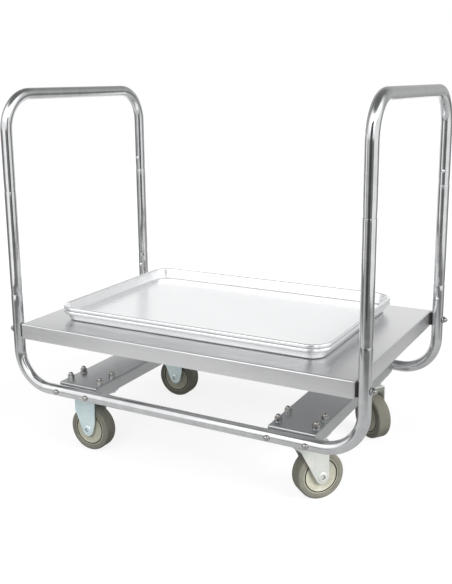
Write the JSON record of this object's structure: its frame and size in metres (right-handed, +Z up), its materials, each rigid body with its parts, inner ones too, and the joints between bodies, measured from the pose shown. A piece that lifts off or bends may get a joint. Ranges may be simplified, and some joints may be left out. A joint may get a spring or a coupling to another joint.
{
  "type": "dough box trolley",
  "caption": "Low stainless trolley with a folded deck, tall tube handles at both ends, fixed and swivel casters, and nested sheet pans that lift off.",
  "frame": {"origin": "on the floor under the middle of the trolley", "axes": "+X along the trolley from the fixed casters to the swivel casters, +Y from the front to the back, +Z up"},
  "size_m": [0.8606, 0.5384, 0.8117],
  "materials": {
    "tube_steel": "polished stainless tube",
    "deck_steel": "satin stainless sheet",
    "channel_steel": "satin stainless sheet",
    "polished_fasteners": "polished stainless",
    "zinc_fasteners": "bright zinc plate",
    "caster_zinc": "bluish bright zinc plate",
    "bearing_steel": "polished bearing steel",
    "spacer_plastic": "moulded black plastic",
    "tyre_rubber": "non-marking taupe grey rubber",
    "hub_plastic": "moulded cream plastic",
    "bushing_nylon": "natural nylon",
    "pan_aluminium": "bright natural aluminium sheet",
    "rim_wire": "galvanised wire"
  },
  "bodies": {
    "trolley": {"front_bottom_tube": "tube_steel", "rear_bottom_tube": "tube_steel", "post_front_left": "tube_steel", "post_front_right": "tube_steel", "post_rear_left": "tube_steel", "post_rear_right": "tube_steel", "handle_left": "tube_steel", "handle_right": "tube_steel", "joint_sleeves": "tube_steel", "joint_screws": "polished_fasteners", "deck": "deck_steel", "deck_stiffeners": "deck_steel", "saddle_spacers": "spacer_plastic", "deck_bolts": "zinc_fasteners", "deck_washers": "zinc_fasteners", "deck_cap_nuts": "polished_fasteners", "channel_left": "channel_steel", "channel_right": "channel_steel", "channel_bolts": "polished_fasteners", "channel_nuts": "zinc_fasteners", "caster_bolts": "zinc_fasteners", "caster_washers": "zinc_fasteners", "caster_cap_nuts": "polished_fasteners", "rigid_fork_front": "caster_zinc", "rigid_fork_rear": "caster_zinc", "axle_front_left": "caster_zinc", "axle_rear_left": "caster_zinc", "swivel_plate_front": "caster_zinc", "swivel_plate_rear": "caster_zinc", "king_pin_front": "caster_zinc", "king_pin_rear": "caster_zinc", "ball_ring_front": "bearing_steel", "ball_ring_rear": "bearing_steel"},
    "swivel_front": {"swivel_fork_front": "caster_zinc", "axle_front_right": "caster_zinc"},
    "swivel_rear": {"swivel_fork_rear": "caster_zinc", "axle_rear_right": "caster_zinc"},
    "wheel_front_left": {"tyre_front_left": "tyre_rubber", "hub_front_left": "hub_plastic", "bushings_front_left": "bushing_nylon"},
    "wheel_front_right": {"tyre_front_right": "tyre_rubber", "hub_front_right": "hub_plastic", "bushings_front_right": "bushing_nylon"},
    "wheel_rear_left": {"tyre_rear_left": "tyre_rubber", "hub_rear_left": "hub_plastic", "bushings_rear_left": "bushing_nylon"},
    "wheel_rear_right": {"tyre_rear_right": "tyre_rubber", "hub_rear_right": "hub_plastic", "bushings_rear_right": "bushing_nylon"},
    "lower_pan": {"lower_pan": "pan_aluminium", "lower_pan_wire": "rim_wire"},
    "upper_pan": {"upper_pan": "pan_aluminium", "upper_pan_wire": "rim_wire"}
  },
  "joints": [
    {"name": "wheel_front_left_spin", "type": "hinge", "parent": "trolley", "child": "wheel_front_left", "pos_m": [-0.258, -0.187, 0.0508], "axis": [0, 1, 0], "continuous": true},
    {"name": "wheel_rear_left_spin", "type": "hinge", "parent": "trolley", "child": "wheel_rear_left", "pos_m": [-0.258, 0.187, 0.0508], "axis": [0, 1, 0], "continuous": true},
    {"name": "swivel_front_turn", "type": "hinge", "parent": "trolley", "child": "swivel_front", "pos_m": [0.258, -0.187, 0.1319], "axis": [0, 0, 1], "continuous": true},
    {"name": "wheel_front_right_spin", "type": "hinge", "parent": "swivel_front", "child": "wheel_front_right", "pos_m": [0.28195, -0.15945, 0.0508], "axis": [-0.7547, 0.6561, 0], "continuous": true},
    {"name": "swivel_rear_turn", "type": "hinge", "parent": "trolley", "child": "swivel_rear", "pos_m": [0.258, 0.187, 0.1319], "axis": [0, 0, 1], "continuous": true},
    {"name": "wheel_rear_right_spin", "type": "hinge", "parent": "swivel_rear", "child": "wheel_rear_right", "pos_m": [0.28753, 0.16555, 0.0508], "axis": [0.5878, 0.809, 0], "continuous": true},
    {"name": "lower_pan_lift", "type": "slide", "parent": "trolley", "child": "lower_pan", "axis": [0, 0, 1], "range_m": [0, 0.3]},
    {"name": "upper_pan_lift", "type": "slide", "parent": "lower_pan", "child": "upper_pan", "axis": [0, 0, 1], "range_m": [0, 0.2]}
  ]
}
